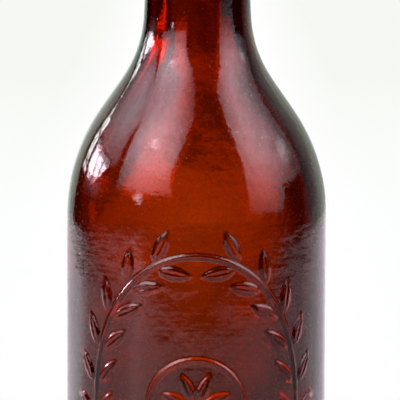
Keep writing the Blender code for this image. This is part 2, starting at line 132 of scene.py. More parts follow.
# The skin of the glass. Waves: how many sines, their seed, the longest, the shortest, and their depth.
# Fades: where the waves come in above the base, over what height, and over what height they end at the lip
WHITTLING = (14, 3, 42 * MM, 9 * MM, 0.06 * MM)
RIPPLES = (12, 4, 9 * MM, 3 * MM, 0.006 * MM)
INNER_WAVES = (14, 7, 46 * MM, 12 * MM, 0.18 * MM)
OUTER_FADE = (4 * MM, 6 * MM, 6 * MM)
INNER_FADE = (12 * MM, 10 * MM, 20 * MM)
MEAN_SINK = 0.04 * MM
DEEPEST_SINK = 0.5 * MM
SEAM_HEIGHT = 0.1 * MM
SEAM_HALF_WIDTH = math.radians(0.7)

# The relief, as in the CAD, in millimetres on the unrolled front: a wreath on an oval stem round a rosette
WREATH_CENTRE = (BODY_HEIGHT + HEEL_ARC) / 2 / MM
WREATH_WIDE = 27.0
WREATH_HIGH = (BODY_HEIGHT - HEEL_ARC) / 2 / MM - 6.6
LEAF_LENGTH = 8.4
LEAF_WIDTH = 1.55
LEAF_LEAN = math.radians(37.0)
LEAF_CLEARANCE = 1.2
LEAF_PAIRS = 11
LEAF_TAPER = 0.8
LEAF_FULLNESS = 1.6
MIDRIB_DEPTH = 0.45
MIDRIB_WIDTH = 0.28
FIRST_LEAF = 2.0
LAST_LEAF = 10.0
STEM_WIDTH = 0.62
PETALS = 8
PETAL_LENGTH = 7.4
PETAL_WIDTH = 1.4
ROSETTE_HEART = 1.9
ROSETTE_BEAD = 0.75
ROSETTE_RING = 11.5
RELIEF_DEPTH = 0.48
RELIEF_REACH = 1.4

# The photograph: its camera, and where the axis of the bottle stands in it
PHOTO_SIDE = 400
SENSOR = 36.0
CAMERA_DISTANCE = 0.70
CAMERA_PITCH = math.radians(6.0)
CAMERA_ROLL = math.radians(0.24)
PIXEL = 0.2448 * MM
AXIS_SHIFT = 3.3 * PIXEL
PHOTO_CENTRE_HEIGHT = 93.75 * MM


def steps_between(start, end, count):
    return [start + (end - start) * i / count for i in range(count + 1)]


def arc(radius_at, height_at, radius, start, end, step):
    """Points (r, z) on a circle, in degrees from +r towards +z, about one step apart."""
    count = max(2, round(abs(math.radians(end - start)) * radius / step))
    angles = (math.radians(a) for a in steps_between(start, end, count))
    return [(radius_at + radius * math.cos(a), height_at + radius * math.sin(a)) for a in angles]


def straight(start, end, step):
    count = max(1, round(math.dist(start, end) / step))
    return [(start[0] + (end[0] - start[0]) * t, start[1] + (end[1] - start[1]) * t)
            for t in steps_between(0.0, 1.0, count)]


def joined(*runs):
    """Runs of points as one line, without the points that repeat where they meet."""
    line = []
    for run in runs:
        line += [p for p in run if not line or math.dist(p, line[-1]) > SAME_POINT]
    return line


def smooth_line(knots, step):
    """A cubic curve through knots (r, z), whose slope at each one follows its two neighbours."""
    line = []
    for before, start, end, after in zip(knots, knots[1:], knots[2:], knots[3:]):
        count = max(1, round(math.dist(start, end) / step))
        for t in steps_between(0.0, 1.0, count)[:-1]:
            weights = (-t + 2 * t**2 - t**3, 2 - 5 * t**2 + 3 * t**3, t + 4 * t**2 - 3 * t**3, t**3 - t**2)
            line.append(tuple(sum(w * k[i] for w, k in zip(weights, (before, start, end, after))) / 2
                              for i in (0, 1)))
    return line + [knots[-2]]


def smoothed(line):
    """A wall line with the joints between its arcs drawn out, as in blown glass."""
    low, high = SMOOTHED
    upwards = sorted(line, key=lambda point: point[1])
    heights = np.arange(low - SMOOTHING_MARGIN, high + SMOOTHING_MARGIN, SMOOTHING_STEP)
    radii = np.interp(heights, [z / MM for r, z in upwards], [r / MM for r, z in upwards])
    reach = np.arange(-SMOOTHING_REACH, SMOOTHING_REACH + SMOOTHING_STEP / 2, SMOOTHING_STEP)
    weights = np.exp(-0.5 * (reach / SMOOTHING) ** 2)
    drawn = np.convolve(radii, weights / weights.sum(), mode="same")
    result = []
    for r, z in line:
        share = min(max(min(z / MM - low, high - z / MM) / SMOOTHING_FADE, 0.0), 1.0)
        result.append((r + share * (float(np.interp(z / MM, heights, drawn)) * MM - r), z))
    return result


def cap_arc(edge_radius, edge_height, rise, step):
    """A shallow dome from its edge up to its apex on the axis."""
    radius = (edge_radius**2 + rise**2) / (2 * rise)
    edge = math.degrees(math.asin(edge_radius / radius))
    return arc(0.0, edge_height + rise - radius, radius, 90.0 - edge, 90.0, step)


def shoulder(body_radius, body_arc, neck_arc, neck_radius, taper, step):
    """From the top of the body up to the root of the neck, as in the CAD."""
    both = body_arc + neck_arc
    rest = body_radius - neck_radius - body_arc - neck_arc * math.cos(taper)
    slope = math.atan2(both, SHOULDER_CONE) + math.asin(rest / math.hypot(both, SHOULDER_CONE))
    low_end = BODY_HEIGHT + body_arc * math.sin(slope)
    high_start = low_end + SHOULDER_CONE * math.cos(slope)
    centre = (neck_radius + neck_arc * math.cos(taper), high_start + neck_arc * math.sin(slope))
    low = arc(body_radius - body_arc, BODY_HEIGHT, body_arc, 0.0, math.degrees(slope), step)
    high = arc(*centre, neck_arc, 180.0 + math.degrees(slope), 180.0 + math.degrees(taper), step)
    return joined(low, straight(low[-1], high[0], step), high)


def glass_profile():
    """The whole section, from the apex under the base up the outside and down the inside to the floor."""
    gap = {part: millimetres * MM for part, millimetres in ROW_GAPS.items()}
    bearing_out = BODY_RADIUS - HEEL_ARC
    kickup = bearing_out - BEARING_WIDTH - BEARING_EDGE
    under = cap_arc(kickup, BEARING_EDGE / 3, KICKUP_DEPTH, gap["under"])[::-1]
    bearing = straight((kickup + BEARING_EDGE, 0.0), (bearing_out, 0.0), gap["bearing"])
    heel = arc(bearing_out, HEEL_ARC, HEEL_ARC, -90.0, 0.0, gap["heel"])
    wall = straight((BODY_RADIUS, HEEL_ARC), (BODY_RADIUS, BODY_HEIGHT), gap["body"])
    outer = shoulder(BODY_RADIUS, SHOULDER_ARC, NECK_ARC, NECK_RADIUS, NECK_TAPER, gap["shoulder"])

    neck_radius = outer[-1][0] - (LIP_BOTTOM - outer[-1][1]) * math.tan(NECK_TAPER)
    neck_end = LIP_BOTTOM - LIP_SEAM_ARC
    neck = straight(outer[-1], (neck_radius, neck_end), gap["neck"])
    seam = arc(neck_radius + LIP_SEAM_ARC, neck_end, LIP_SEAM_ARC, 180.0, 100.0, gap["lip_seam"])
    low_centre = LIP_RADIUS - LIP_LOW_ARC
    low_end = math.acos(max(0.0, neck_radius + LIP_LAND - low_centre) / LIP_LOW_ARC)
    low_height = LIP_BOTTOM + LIP_LOW_ARC * math.sin(low_end)
    lip_low = arc(low_centre, low_height, LIP_LOW_ARC, -math.degrees(low_end), 0.0, gap["lip"])
    top_centre = (LIP_RADIUS - LIP_TOP_INSET - LIP_TOP_ARC, LIP_TOP - LIP_TOP_ARC)
    lip_top = arc(*top_centre, LIP_TOP_ARC, 6.0, 90.0, gap["lip"])
    lip_side = straight(lip_low[-1], lip_top[0], gap["lip"])
    mouth_centre = (BORE_RADIUS + MOUTH_ARC, LIP_TOP - MOUTH_ARC)
    lip_flat = straight(lip_top[-1], (mouth_centre[0], LIP_TOP), gap["lip"])
    mouth = arc(*mouth_centre, MOUTH_ARC, 90.0, 180.0, gap["mouth"])

    knots = [(r * MM, z * MM) for r, z in INNER_WALL]
    inner = smooth_line(knots, gap["inner_shoulder"])[::-1]
    bore = straight(mouth[-1], inner[0], gap["bore"])
    inner_heel_top = BASE_THICKNESS + INNER_HEEL_ARC
    floor_edge = BODY_RADIUS - WALL - INNER_HEEL_ARC
    inner_wall = straight(inner[-1], (BODY_RADIUS - WALL, inner_heel_top), gap["inner_wall"])
    inner_heel = arc(floor_edge, inner_heel_top, INNER_HEEL_ARC, 0.0, -90.0, gap["inner_heel"])
    floor = cap_arc(floor_edge, BASE_THICKNESS, KICKUP_DEPTH, gap["floor"])

    outside = joined(under, bearing, heel, smoothed(joined(wall, outer, neck)), seam,
                     lip_low, lip_side, lip_top, lip_flat, mouth)
    inside = joined(smoothed(joined(bore, inner, inner_wall)), inner_heel, floor)
    return outside, [p for p in inside if math.dist(p, outside[-1]) > SAME_POINT]


def profile_normals(points):
    """Outward normals (r, z) along a line whose solid lies on its left."""
    points = np.array(points)
    along = np.gradient(points, axis=0)
    normals = np.stack([along[:, 1], -along[:, 0]], axis=1)
    return normals / np.linalg.norm(normals, axis=1, keepdims=True)


def column_angles():
    """Angles of the plain columns, and of those split finer over the front, round from -Y."""
    whole = [i * 360.0 / COLUMNS for i in range(COLUMNS)]
    seams = [s + o for s in (90.0, 270.0) for o in SEAM_OFFSETS]
    plain = sorted(whole + seams)
    half = FRONT_COLUMNS / 2 * 360.0 / COLUMNS
    step = 360.0 / COLUMNS / FRONT_SPLIT
    fine = [i * step for i in range(COLUMNS * FRONT_SPLIT)]
    fine = [a for a in fine if a < half or a > 360.0 - half]
    rest = [a for a in plain if half <= a <= 360.0 - half]
    return np.radians(plain), np.radians(sorted(fine + rest))


def from_front(angle):
    """An angle round the axis as it stands from the front, up to pi on either side."""
    return (angle + math.pi) % (2 * math.pi) - math.pi


def waves(angle, height, terms, seed, longest, shortest, depth):
    """A gentle, seamless waviness: sines round and along the glass, longer ones deeper."""
    rng = np.random.default_rng(seed)
    total = np.zeros(np.broadcast(angle, height).shape)
    for _ in range(terms):
        length = shortest * (longest / shortest) ** rng.random()
        lean = rng.uniform(0.0, math.pi)
        around = round(2 * math.pi * BODY_RADIUS / length * math.cos(lean))
        up = 2 * math.pi / length * math.sin(lean)
        total += length / longest * np.sin(around * angle + up * height + rng.uniform(0, 2 * math.pi))
    return depth * total / math.sqrt(terms)


def rising(value, start, length):
    """0 up to the start, 1 from one length on, and even in between."""
    return np.clip((value - start) / length, 0.0, 1.0)


def faded(z, start, low_length, high_length):
    return rising(z, start, low_length) * rising(LIP_BOTTOM - z, 0.0, high_length)


def ridge(distance, half_width):
    """A bell, 1 along its middle."""
    return np.exp(-((distance / half_width) ** 2))


def rounded(distance, half_width):
    """A round-topped section, 1 along its middle and full to its edge."""
    return np.sqrt(np.clip(1.0 - (distance / half_width) ** 2, 0.0, 1.0))


def leaf(u, v, at, heading, length, width):
    """A pointed leaf from its root along its heading, full like a pillow and grooved for its midrib."""
    p = (u - at[0]) * math.cos(heading) + (v - at[1]) * math.sin(heading)
    q = -(u - at[0]) * math.sin(heading) + (v - at[1]) * math.cos(heading)
    share = np.clip(p / length, 0.0, 1.0)
    half = np.maximum(width * np.sin(math.pi * share**LEAF_TAPER), 1e-6)
    full = rounded(q, half) * np.minimum(half / width * LEAF_FULLNESS, 1.0)
    return full * (1.0 - MIDRIB_DEPTH * ridge(q, MIDRIB_WIDTH))


def leaf_roots():
    """Evenly spaced places up the right half of the stem, each with the stem's heading there."""
    turns = np.radians(np.arange(-90, 91))
    across, up = WREATH_WIDE * np.cos(turns), WREATH_CENTRE + WREATH_HIGH * np.sin(turns)
    run = np.concatenate([[0.0], np.cumsum(np.hypot(np.diff(across), np.diff(up)))])
    for at in np.linspace(FIRST_LEAF, run[-1] - LAST_LEAF, LEAF_PAIRS):
        turn = np.interp(at, run, turns)
        root = (WREATH_WIDE * math.cos(turn), WREATH_CENTRE + WREATH_HIGH * math.sin(turn))
        yield root, math.atan2(WREATH_HIGH * math.cos(turn), -WREATH_WIDE * math.sin(turn))


def relief(u, v):
    """How high the wreath and the rosette stand at a place of the unrolled front, from 0 to 1."""
    height = np.zeros(u.shape)
    for root, heading in leaf_roots():
        for lean in (-LEAF_LEAN, LEAF_LEAN):
            off = heading + math.copysign(math.pi / 2, lean)
            start = (root[0] + LEAF_CLEARANCE * math.cos(off), root[1] + LEAF_CLEARANCE * math.sin(off))
            for side in (u, -u):
                height = np.maximum(height, leaf(side, v, start, heading + lean, LEAF_LENGTH, LEAF_WIDTH))
    stem = np.hypot(u / WREATH_WIDE, (v - WREATH_CENTRE) / WREATH_HIGH) - 1.0
    slope = np.hypot(u / WREATH_WIDE**2, (v - WREATH_CENTRE) / WREATH_HIGH**2) / (stem + 1.0)
    height = np.maximum(height, rounded(stem / np.maximum(slope, 1e-6), STEM_WIDTH))
    for i in range(PETALS):
        turn = 2 * math.pi * (i + 0.5) / PETALS
        root = (ROSETTE_HEART * math.cos(turn), WREATH_CENTRE + ROSETTE_HEART * math.sin(turn))
        height = np.maximum(height, leaf(u, v, root, turn, PETAL_LENGTH, PETAL_WIDTH))
    away = np.hypot(u, v - WREATH_CENTRE)
    height = np.maximum(height, rounded(away, ROSETTE_BEAD * ROSETTE_HEART))
    return np.maximum(height, rounded(away - ROSETTE_RING, STEM_WIDTH))


def outside_offset(angle, z):
    """How far the outer surface stands off its turned form: whittling, seams and relief."""
    around = from_front(angle)
    fade = faded(z, *OUTER_FADE)
    sink = waves(angle, z, *WHITTLING) + waves(angle, z, *RIPPLES) - MEAN_SINK
    sink = np.clip(sink * fade, -DEEPEST_SINK, 0.0)
    seam = np.abs(np.abs(around) - math.pi / 2)
    sink = sink + SEAM_HEIGHT * ridge(seam, SEAM_HALF_WIDTH) * fade
    u, v = around * BODY_RADIUS / MM, z / MM
    return np.minimum(sink, 0.0) + RELIEF_DEPTH * MM * relief(u, v) * (np.abs(around) < RELIEF_REACH)


def inside_offset(angle, z):
    """How far the inner wall stands off its turned form: waves, and glass that gathered at the left."""
    around = np.degrees(from_front(angle))
    side = rising(-around, *THICKER_BEGINS) * rising(around, *THICKER_ENDS)
    thicker = THICKER_SIDE * side * ridge(z - THICKEST_HEIGHT, THICKER_SPREAD)
    return waves(angle, z, *INNER_WAVES) * faded(z, *INNER_FADE) + thicker


def stitch(first, first_angles, second, second_angles):
    """Faces between two rings of vertices that start at one angle, with quads where columns match."""
    faces, i, j = [], 0, 0
    n, m = len(first), len(second)
    a, b = list(first_angles) + [2 * math.pi], list(second_angles) + [2 * math.pi]
    while i < n or j < m:
        if i < n and j < m and abs(a[i + 1] - b[j + 1]) < 1e-7:
            faces.append((first[i], first[(i + 1) % n], second[(j + 1) % m], second[j]))
            i, j = i + 1, j + 1
        elif j >= m or (i < n and a[i + 1] < b[j + 1]):
            faces.append((first[i], first[(i + 1) % n], second[j % m]))
            i += 1
        else:
            faces.append((first[i % n], second[(j + 1) % m], second[j]))
            j += 1
    return faces


def shade_smooth(mesh):
    for polygon in mesh.polygons:
        polygon.use_smooth = True


def new_object(name, data):
    thing = bpy.data.objects.new(name, data)
    bpy.context.scene.collection.objects.link(thing)
    return thing


def make_glass():
    """The bottle and its lip as one closed shell of glass, outside and inside."""
    outside, inside = glass_profile()
    plain, fine = column_angles()
    rows = [(p, n, outside_offset) for p, n in zip(outside, profile_normals(outside))]
    rows += [(p, n, inside_offset) for p, n in zip(inside, profile_normals(inside))]
    points, faces, last = [], [], None
    for (r, z), (normal_r, normal_z), offset in rows:
        if r < ON_AXIS:
            ring, angles = [len(points)], np.zeros(1)
            points.append((0.0, 0.0, z))
        else:
            on_body = RELIEF_LOW < z < RELIEF_HIGH and r > BODY_RADIUS - CARVED_DEPTH
            angles = fine if on_body and offset is outside_offset else plain
            height = np.full(angles.shape, z)
            off = offset(angles, height) if z > LEVEL_BELOW else 0.0 * angles
            radius = r + normal_r * off
            ring = list(range(len(points), len(points) + len(angles)))
            points += list(zip(radius * np.sin(angles), -radius * np.cos(angles), z + normal_z * off))
        if last:
            last_ring, last_angles = last
            if len(last_ring) == 1:
                faces += [(last_ring[0], ring[(k + 1) % len(ring)], ring[k]) for k in range(len(ring))]
            elif len(ring) == 1:
                faces += [(last_ring[k], last_ring[(k + 1) % len(last_ring)], ring[0])
                          for k in range(len(last_ring))]
            else:
                faces += stitch(last_ring, last_angles, ring, angles)
        last = ring, angles
    mesh = bpy.data.meshes.new("glass_bottle")
    mesh.from_pydata(points, [], faces)
    mesh.update()
    shade_smooth(mesh)
    mesh.materials.append(glass_material())
    bottle = new_object("glass_bottle", mesh)
    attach(bottle, "bottle")
    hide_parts("bottle_body", "blob_lip")


class Tree:
    """The nodes of a material or of the world, with short forms for the kinds used here."""

    def __init__(self, owner):
        owner.use_nodes = True
        self.nodes = owner.node_tree.nodes
        self.link = owner.node_tree.links.new

    def add(self, kind):
        return self.nodes.new("ShaderNode" + kind)

    def put(self, value, socket):
        """A number, a colour or another node's output into a socket."""
        if isinstance(value, (int, float)):
            socket.default_value = value
        elif isinstance(value, tuple):
            socket.default_value = (*value, 1.0)
        else:
            self.link(value, socket)

    def math(self, operation, *values):
        node = self.add("Math")
        node.operation = operation
        for value, socket in zip(values, node.inputs):
            self.put(value, socket)
        return node.outputs["Value"]

    def ranged(self, source, span, result):
        """A value carried from one span over to another, and held at its ends."""
        node = self.add("MapRange")
        for name, value in zip(("From Min", "From Max", "To Min", "To Max"), (*span, *result)):
            node.inputs[name].default_value = value
        self.link(source, node.inputs["Value"])
        return node.outputs["Result"]

    def split(self, vector):
        """The x, y and z of a vector."""
        node = self.add("SeparateXYZ")
        self.link(vector, node.inputs["Vector"])
        return tuple(node.outputs)

    def clouds(self, place, scale, detail):
        node = self.add("TexNoise")
        node.inputs["Scale"].default_value = scale
        node.inputs["Detail"].default_value = detail
        self.link(place, node.inputs["Vector"])
        return node.outputs["Fac"]

    def noise(self, scale, detail=4.0, stretch=(1.0, 1.0, 1.0)):
        """Noise in the object's own coordinates."""
        where = self.add("TexCoord")
        mapping = self.add("Mapping")
        mapping.inputs["Scale"].default_value = stretch
        self.link(where.outputs["Object"], mapping.inputs["Vector"])
        return self.clouds(mapping.outputs["Vector"], scale, detail)

    def graded(self, turn, stops):
        """Levels by azimuth in degrees, blended from stop to stop; the turn runs from 0 to 1."""
        ramp = self.add("ValToRGB")
        elements = ramp.color_ramp.elements
        elements.remove(elements[1])
        for i, (degrees, level) in enumerate(stops):
            element = elements.new(degrees / 360 + 0.5) if i else elements[0]
            element.position, element.color = degrees / 360 + 0.5, (level, level, level, 1.0)
        self.link(turn, ramp.inputs["Fac"])
        return ramp.outputs["Color"]

    def mix(self, kind, share, first, second):
        """The second over the first by a share, as a FLOAT or as an RGBA."""
        node = self.add("Mix")
        node.data_type = kind
        for name, value in (("Factor", share), ("A", first), ("B", second)):
            self.put(value, node.inputs[name])
        return node.outputs["Result"]

    def over(self, share, first, second):
        """The second shader over the first by a share."""
        node = self.add("MixShader")
        for value, socket in zip((share, first.outputs[0], second.outputs[0]), node.inputs):
            self.link(value, socket)
        return node

    def bump(self, source, strength, distance):
        node = self.add("Bump")
        node.inputs["Strength"].default_value = strength
        node.inputs["Distance"].default_value = distance
        self.link(source, node.inputs["Height"])
        return node.outputs["Normal"]


def new_material(name):
    """A material, its tree, and the inputs of its surface shader."""
    material = bpy.data.materials.new(name)
    tree = Tree(material)
    return material, tree, tree.nodes["Principled BSDF"].inputs


# The finishes, their bumps as a strength and a distance in metres
GLASS_IOR = 1.55
GLASS_TINT = (0.89, 0.52, 0.05)
GLASS_DENSITY = 1000.0
GLASS_BUMP = (0.22, 0.0002)
TIN, TIN_ROUGHNESS = (0.46, 0.44, 0.41), 0.36
STEEL, STEEL_ROUGHNESS = (0.50, 0.48, 0.45), 0.28
DULLED = 0.42
GRIME = (0.09, 0.08, 0.07)
RUST = (0.17, 0.065, 0.028)
WIRE_BUMP = (0.30, 0.00008)
PORCELAIN = (0.80, 0.77, 0.70)
STAINED_PORCELAIN = (0.70, 0.64, 0.53)
BARE_PORCELAIN = (0.62, 0.58, 0.51)
BARE_EDGE = (0.55 * MM, 0.8 * MM)
CRAZING_SCALE = 420.0
CRAZING = (0.36, 0.27, 0.18)
SPECK = (0.10, 0.07, 0.05)
GLAZE_BUMP = (0.14, 0.0001)
RUBBER = (0.30, 0.07, 0.045)
RUBBER_BLOOM = (0.40, 0.16, 0.12)
RUBBER_CRACK = (0.20, 0.048, 0.034)
RUBBER_BUMP = (0.4, 0.0001)


def glass_material():
    """Glass that absorbs in its volume; on its skin haze, dust, a peel, level draw marks and pits."""
    material, tree, shader = new_material("amber_red_glass")
    tree.put((1.0, 1.0, 1.0), shader["Base Color"])
    tree.put(1.0, shader["Transmission Weight"])
    tree.put(GLASS_IOR, shader["IOR"])
    haze = tree.ranged(tree.noise(160.0, 6.0, (1.0, 1.0, 0.35)), (0.5, 0.75), (0.006, 0.03))
    dust = tree.ranged(tree.noise(2300.0, 3.0), (0.64, 0.72), (0.0, 0.30))
    tree.put(tree.math("ADD", haze, dust), shader["Roughness"])
    peel = tree.noise(420.0, 2.0)
    draws = tree.noise(110.0, 4.0, (1.0, 1.0, 9.0))
    fine = tree.noise(1700.0, 2.0)
    pits = tree.ranged(fine, (0.66, 0.72), (0.0, -1.0))
    surface = peel
    for layer, height in ((draws, 0.38), (fine, 0.11), (pits, 0.35)):
        surface = tree.math("MULTIPLY_ADD", layer, height, surface)
    tree.put(tree.bump(surface, *GLASS_BUMP), shader["Normal"])
    volume = tree.add("VolumeAbsorption")
    tree.put(GLASS_TINT, volume.inputs["Color"])
    tree.put(GLASS_DENSITY, volume.inputs["Density"])
    tree.link(volume.outputs["Volume"], tree.nodes["Material Output"].inputs["Volume"])
    return material


def wire_material(name, colour, roughness):
    """Drawn wire: dull where it has oxidised, bright where it rubs, with a few specks of rust."""
    material, tree, shader = new_material(name)
    broad = tree.noise(220.0, 4.0)
    fine = tree.noise(1500.0, 6.0)
    specks = tree.ranged(tree.noise(480.0, 6.0), (0.58, 0.66), (0.0, 1.0))
    rust = tree.math("MULTIPLY", specks, tree.ranged(broad, (0.42, 0.60), (0.15, 1.0)))
    dull = tuple(DULLED * c for c in colour)
    tone = tree.mix("RGBA", tree.ranged(broad, (0.38, 0.66), (0.0, 1.0)), colour, dull)
    tone = tree.mix("RGBA", tree.ranged(fine, (0.52, 0.72), (0.0, 0.55)), tone, GRIME)
    tree.put(tree.mix("RGBA", rust, tone, RUST), shader["Base Color"])
    tree.put(tree.math("MULTIPLY_ADD", rust, -0.85, 1.0), shader["Metallic"])
    worn = tree.ranged(broad, (0.35, 0.70), (roughness, roughness + 0.22))
    tree.put(tree.math("MULTIPLY_ADD", rust, 0.35, worn), shader["Roughness"])
    height = tree.math("MULTIPLY_ADD", rust, 0.6, fine)
    tree.put(tree.bump(height, *WIRE_BUMP), shader["Normal"])
    return material


def porcelain_material():
    """Off-white glaze, crazed and a little stained, over a body that is bare next to its washer."""
    material, tree, shader = new_material("glazed_porcelain")
    where = tree.add("TexCoord").outputs["Object"]
    crack = tree.add("TexVoronoi")
    crack.feature = "DISTANCE_TO_EDGE"
    tree.put(CRAZING_SCALE, crack.inputs["Scale"])
    tree.link(where, crack.inputs["Vector"])
    broad = tree.noise(150.0, 4.0)
    cracks = tree.ranged(crack.outputs["Distance"], (0.0, 0.03), (1.0, 0.0))
    crazing = tree.math("MULTIPLY", cracks, tree.ranged(broad, (0.36, 0.62), (0.05, 0.75)))
    specks = tree.ranged(tree.noise(1300.0, 2.0), (0.72, 0.75), (0.0, 0.8))
    bare = tree.ranged(tree.split(where)[2], [WASHER_TOP + edge for edge in BARE_EDGE], (1.0, 0.0))
    tone = tree.mix("RGBA", tree.ranged(broad, (0.38, 0.70), (0.0, 1.0)), PORCELAIN, STAINED_PORCELAIN)
    tone = tree.mix("RGBA", bare, tone, BARE_PORCELAIN)
    tone = tree.mix("RGBA", crazing, tone, CRAZING)
    tree.put(tree.mix("RGBA", specks, tone, SPECK), shader["Base Color"])
    glossy = tree.ranged(broad, (0.30, 0.72), (0.06, 0.20))
    tree.put(tree.math("MULTIPLY_ADD", bare, 0.45, glossy), shader["Roughness"])
    height = tree.math("MULTIPLY_ADD", crazing, -0.25, tree.noise(320.0, 2.0))
    tree.put(tree.bump(height, *GLAZE_BUMP), shader["Normal"])
    return material


def rubber_material():
    """Old red rubber: a pale bloom, darker wet patches, and fine cracks round its edge."""
    material, tree, shader = new_material("red_rubber")
    broad = tree.noise(260.0, 5.0)
    cracks = tree.ranged(tree.noise(900.0, 6.0, (1.0, 1.0, 0.25)), (0.56, 0.62), (0.0, 1.0))
    tone = tree.mix("RGBA", tree.ranged(broad, (0.40, 0.68), (0.0, 0.8)), RUBBER, RUBBER_BLOOM)
    tree.put(tree.mix("RGBA", cracks, tone, RUBBER_CRACK), shader["Base Color"])
    tree.put(tree.ranged(broad, (0.35, 0.70), (0.58, 0.85)), shader["Roughness"])
    height = tree.math("MULTIPLY_ADD", cracks, -0.7, broad)
    tree.put(tree.bump(height, *RUBBER_BUMP), shader["Normal"])
    return material


# How the closure's meshes are made. Rounding draws a wire of eight sides in to OCTAGON_SHRINKS of its radius,
# so that it is widened by as much first
WELD = 0.002 * MM
JOIN_FACES = math.radians(40.0)
JOIN_SHAPES = math.radians(60.0)
OCTAGON_SHRINKS = 0.902
WIRE_LEVELS = 2
TURNED_COLUMNS = 96
DOME_ROWS = 24
HOLE_COLUMNS = 32
HOLE_LENGTH = 2.4 * HEAD_RIM_RADIUS
POLE = 0.001 * MM
ROW = 0.3 * MM
RIM_ROW = 0.25 * MM
WASHER_ROW = 0.15 * MM
GLAZE_VOXEL = 0.22 * MM
GLAZE_SMOOTHING = dict(factor=0.5, iterations=10)
WASHER_EDGE = 0.7 * MM
WASHER_SEAM = 0.09 * MM
WASHER_SEAM_HALVES = (0.16 * MM, 0.06 * MM)
WASHER_HOLE_EDGE = 0.2 * MM


def placed(name, mesh, material, body, node):
    """A new piece for a node of the CAD, riding on its body, in the finish given."""
    mesh.materials.append(material)
    piece = new_object(name, mesh)
    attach(piece, body)
    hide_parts(node)


def applied(mesh, *modifiers):
    """A mesh with modifiers applied, each a type and its settings."""
    maker = new_object("maker", mesh)
    for kind, values in modifiers:
        modifier = maker.modifiers.new(kind.lower(), kind)
        for key, value in values.items():
            setattr(modifier, key, value)
    bpy.context.view_layer.update()
    result = bpy.data.meshes.new_from_object(maker.evaluated_get(bpy.context.evaluated_depsgraph_get()))
    bpy.data.objects.remove(maker)
    return result


def as_mesh(name, shape):
    mesh = bpy.data.meshes.new(name)
    shape.to_mesh(mesh)
    shape.free()
    return mesh


def make_wire(node, radius, material, body):
    """A round, smoothly bent wire in place of the CAD's, which has eight sides and straight steps."""
    shape = bmesh.new()
    shape.from_mesh(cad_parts[node].data)
    bmesh.ops.remove_doubles(shape, verts=shape.verts, dist=WELD)
    bmesh.ops.join_triangles(shape, faces=shape.faces, angle_face_threshold=JOIN_FACES,
                             angle_shape_threshold=JOIN_SHAPES)
    shape.normal_update()
    for vertex in shape.verts:
        vertex.co += vertex.normal * radius * (1.0 / OCTAGON_SHRINKS - 1.0)
    mesh = applied(as_mesh(node, shape), ("SUBSURF", dict(levels=WIRE_LEVELS, render_levels=WIRE_LEVELS)))
    shade_smooth(mesh)
    placed(f"round_{node}", mesh, material, body, node)


def turned(name, profile):
    """A closed profile (r, z) turned round the axis; points on the axis become poles."""
    points, faces, rings = [], [], []
    turns = np.linspace(0.0, 2 * math.pi, TURNED_COLUMNS, endpoint=False)
    for r, z in profile:
        ring_turns = turns if r > POLE else turns[:1]
        rings.append(list(range(len(points), len(points) + len(ring_turns))))
        points += [(r * math.cos(t), r * math.sin(t), z) for t in ring_turns]
    closed = len(rings[0]) > 1
    for last, ring in zip(rings, rings[1:] + (rings[:1] if closed else [])):
        for k in range(TURNED_COLUMNS):
            corners = (last[k % len(last)], last[(k + 1) % len(last)],
                       ring[(k + 1) % len(ring)], ring[k % len(ring)])
            faces.append(tuple(dict.fromkeys(corners)))
    mesh = bpy.data.meshes.new(name)
    mesh.from_pydata(points, [], faces)
    mesh.update()
    return mesh


def make_stopper():
    """The porcelain head, its stud and its retaining end, with every edge rounded by the glaze."""
    low = WASHER_TOP + PLAY
    rim_centre = (HEAD_RIM_RADIUS - HEAD_RIM_EDGE, low + HEAD_RIM_HEIGHT - HEAD_RIM_EDGE)
    cove_centre = (HEAD_RADIUS + HEAD_COVE, low + HEAD_RIM_HEIGHT + HEAD_COVE)
    dome = [(HEAD_RADIUS * math.sin(a), low + HOLE_HEIGHT + HEAD_DOME * math.cos(a))
            for a in steps_between(0.0, math.pi / 2, DOME_ROWS)]
    cove = arc(*cove_centre, HEAD_COVE, 180.0, 270.0, ROW)
    rim = arc(*rim_centre, HEAD_RIM_EDGE, 90.0, 0.0, RIM_ROW)
    under = [(HEAD_RIM_RADIUS, low + PLAY), (HEAD_RIM_RADIUS - PLAY, low), (STUD_RADIUS, low),
             (STUD_RADIUS, LIP_TOP), (PLUG_RADIUS, LIP_TOP - PLAY)]
    end = arc(PLUG_RADIUS - PLUG_EDGE, PLUG_BOTTOM + PLUG_EDGE, PLUG_EDGE, 0.0, -90.0, ROW)
    mesh = turned("stopper", joined(dome, cove, rim, under, end, [(0.0, PLUG_BOTTOM)])[::-1])
    hole = bmesh.new()
    across = Euler((0.0, math.pi / 2, 0.0)).to_matrix().to_4x4()
    across.translation = (0.0, 0.0, low + HOLE_HEIGHT)
    bmesh.ops.create_cone(hole, cap_ends=True, segments=HOLE_COLUMNS, radius1=HOLE_RADIUS,
                          radius2=HOLE_RADIUS, depth=HOLE_LENGTH, matrix=across)
    cutter = new_object("hole", as_mesh("hole", hole))
    glazed = applied(mesh, ("BOOLEAN", dict(operation="DIFFERENCE", object=cutter)),
                     ("REMESH", dict(mode="VOXEL", voxel_size=GLAZE_VOXEL)), ("SMOOTH", GLAZE_SMOOTHING))
    bpy.data.objects.remove(cutter)
    shade_smooth(glazed)
    placed("porcelain_stopper", glazed, porcelain_material(), "stopper", "stopper")


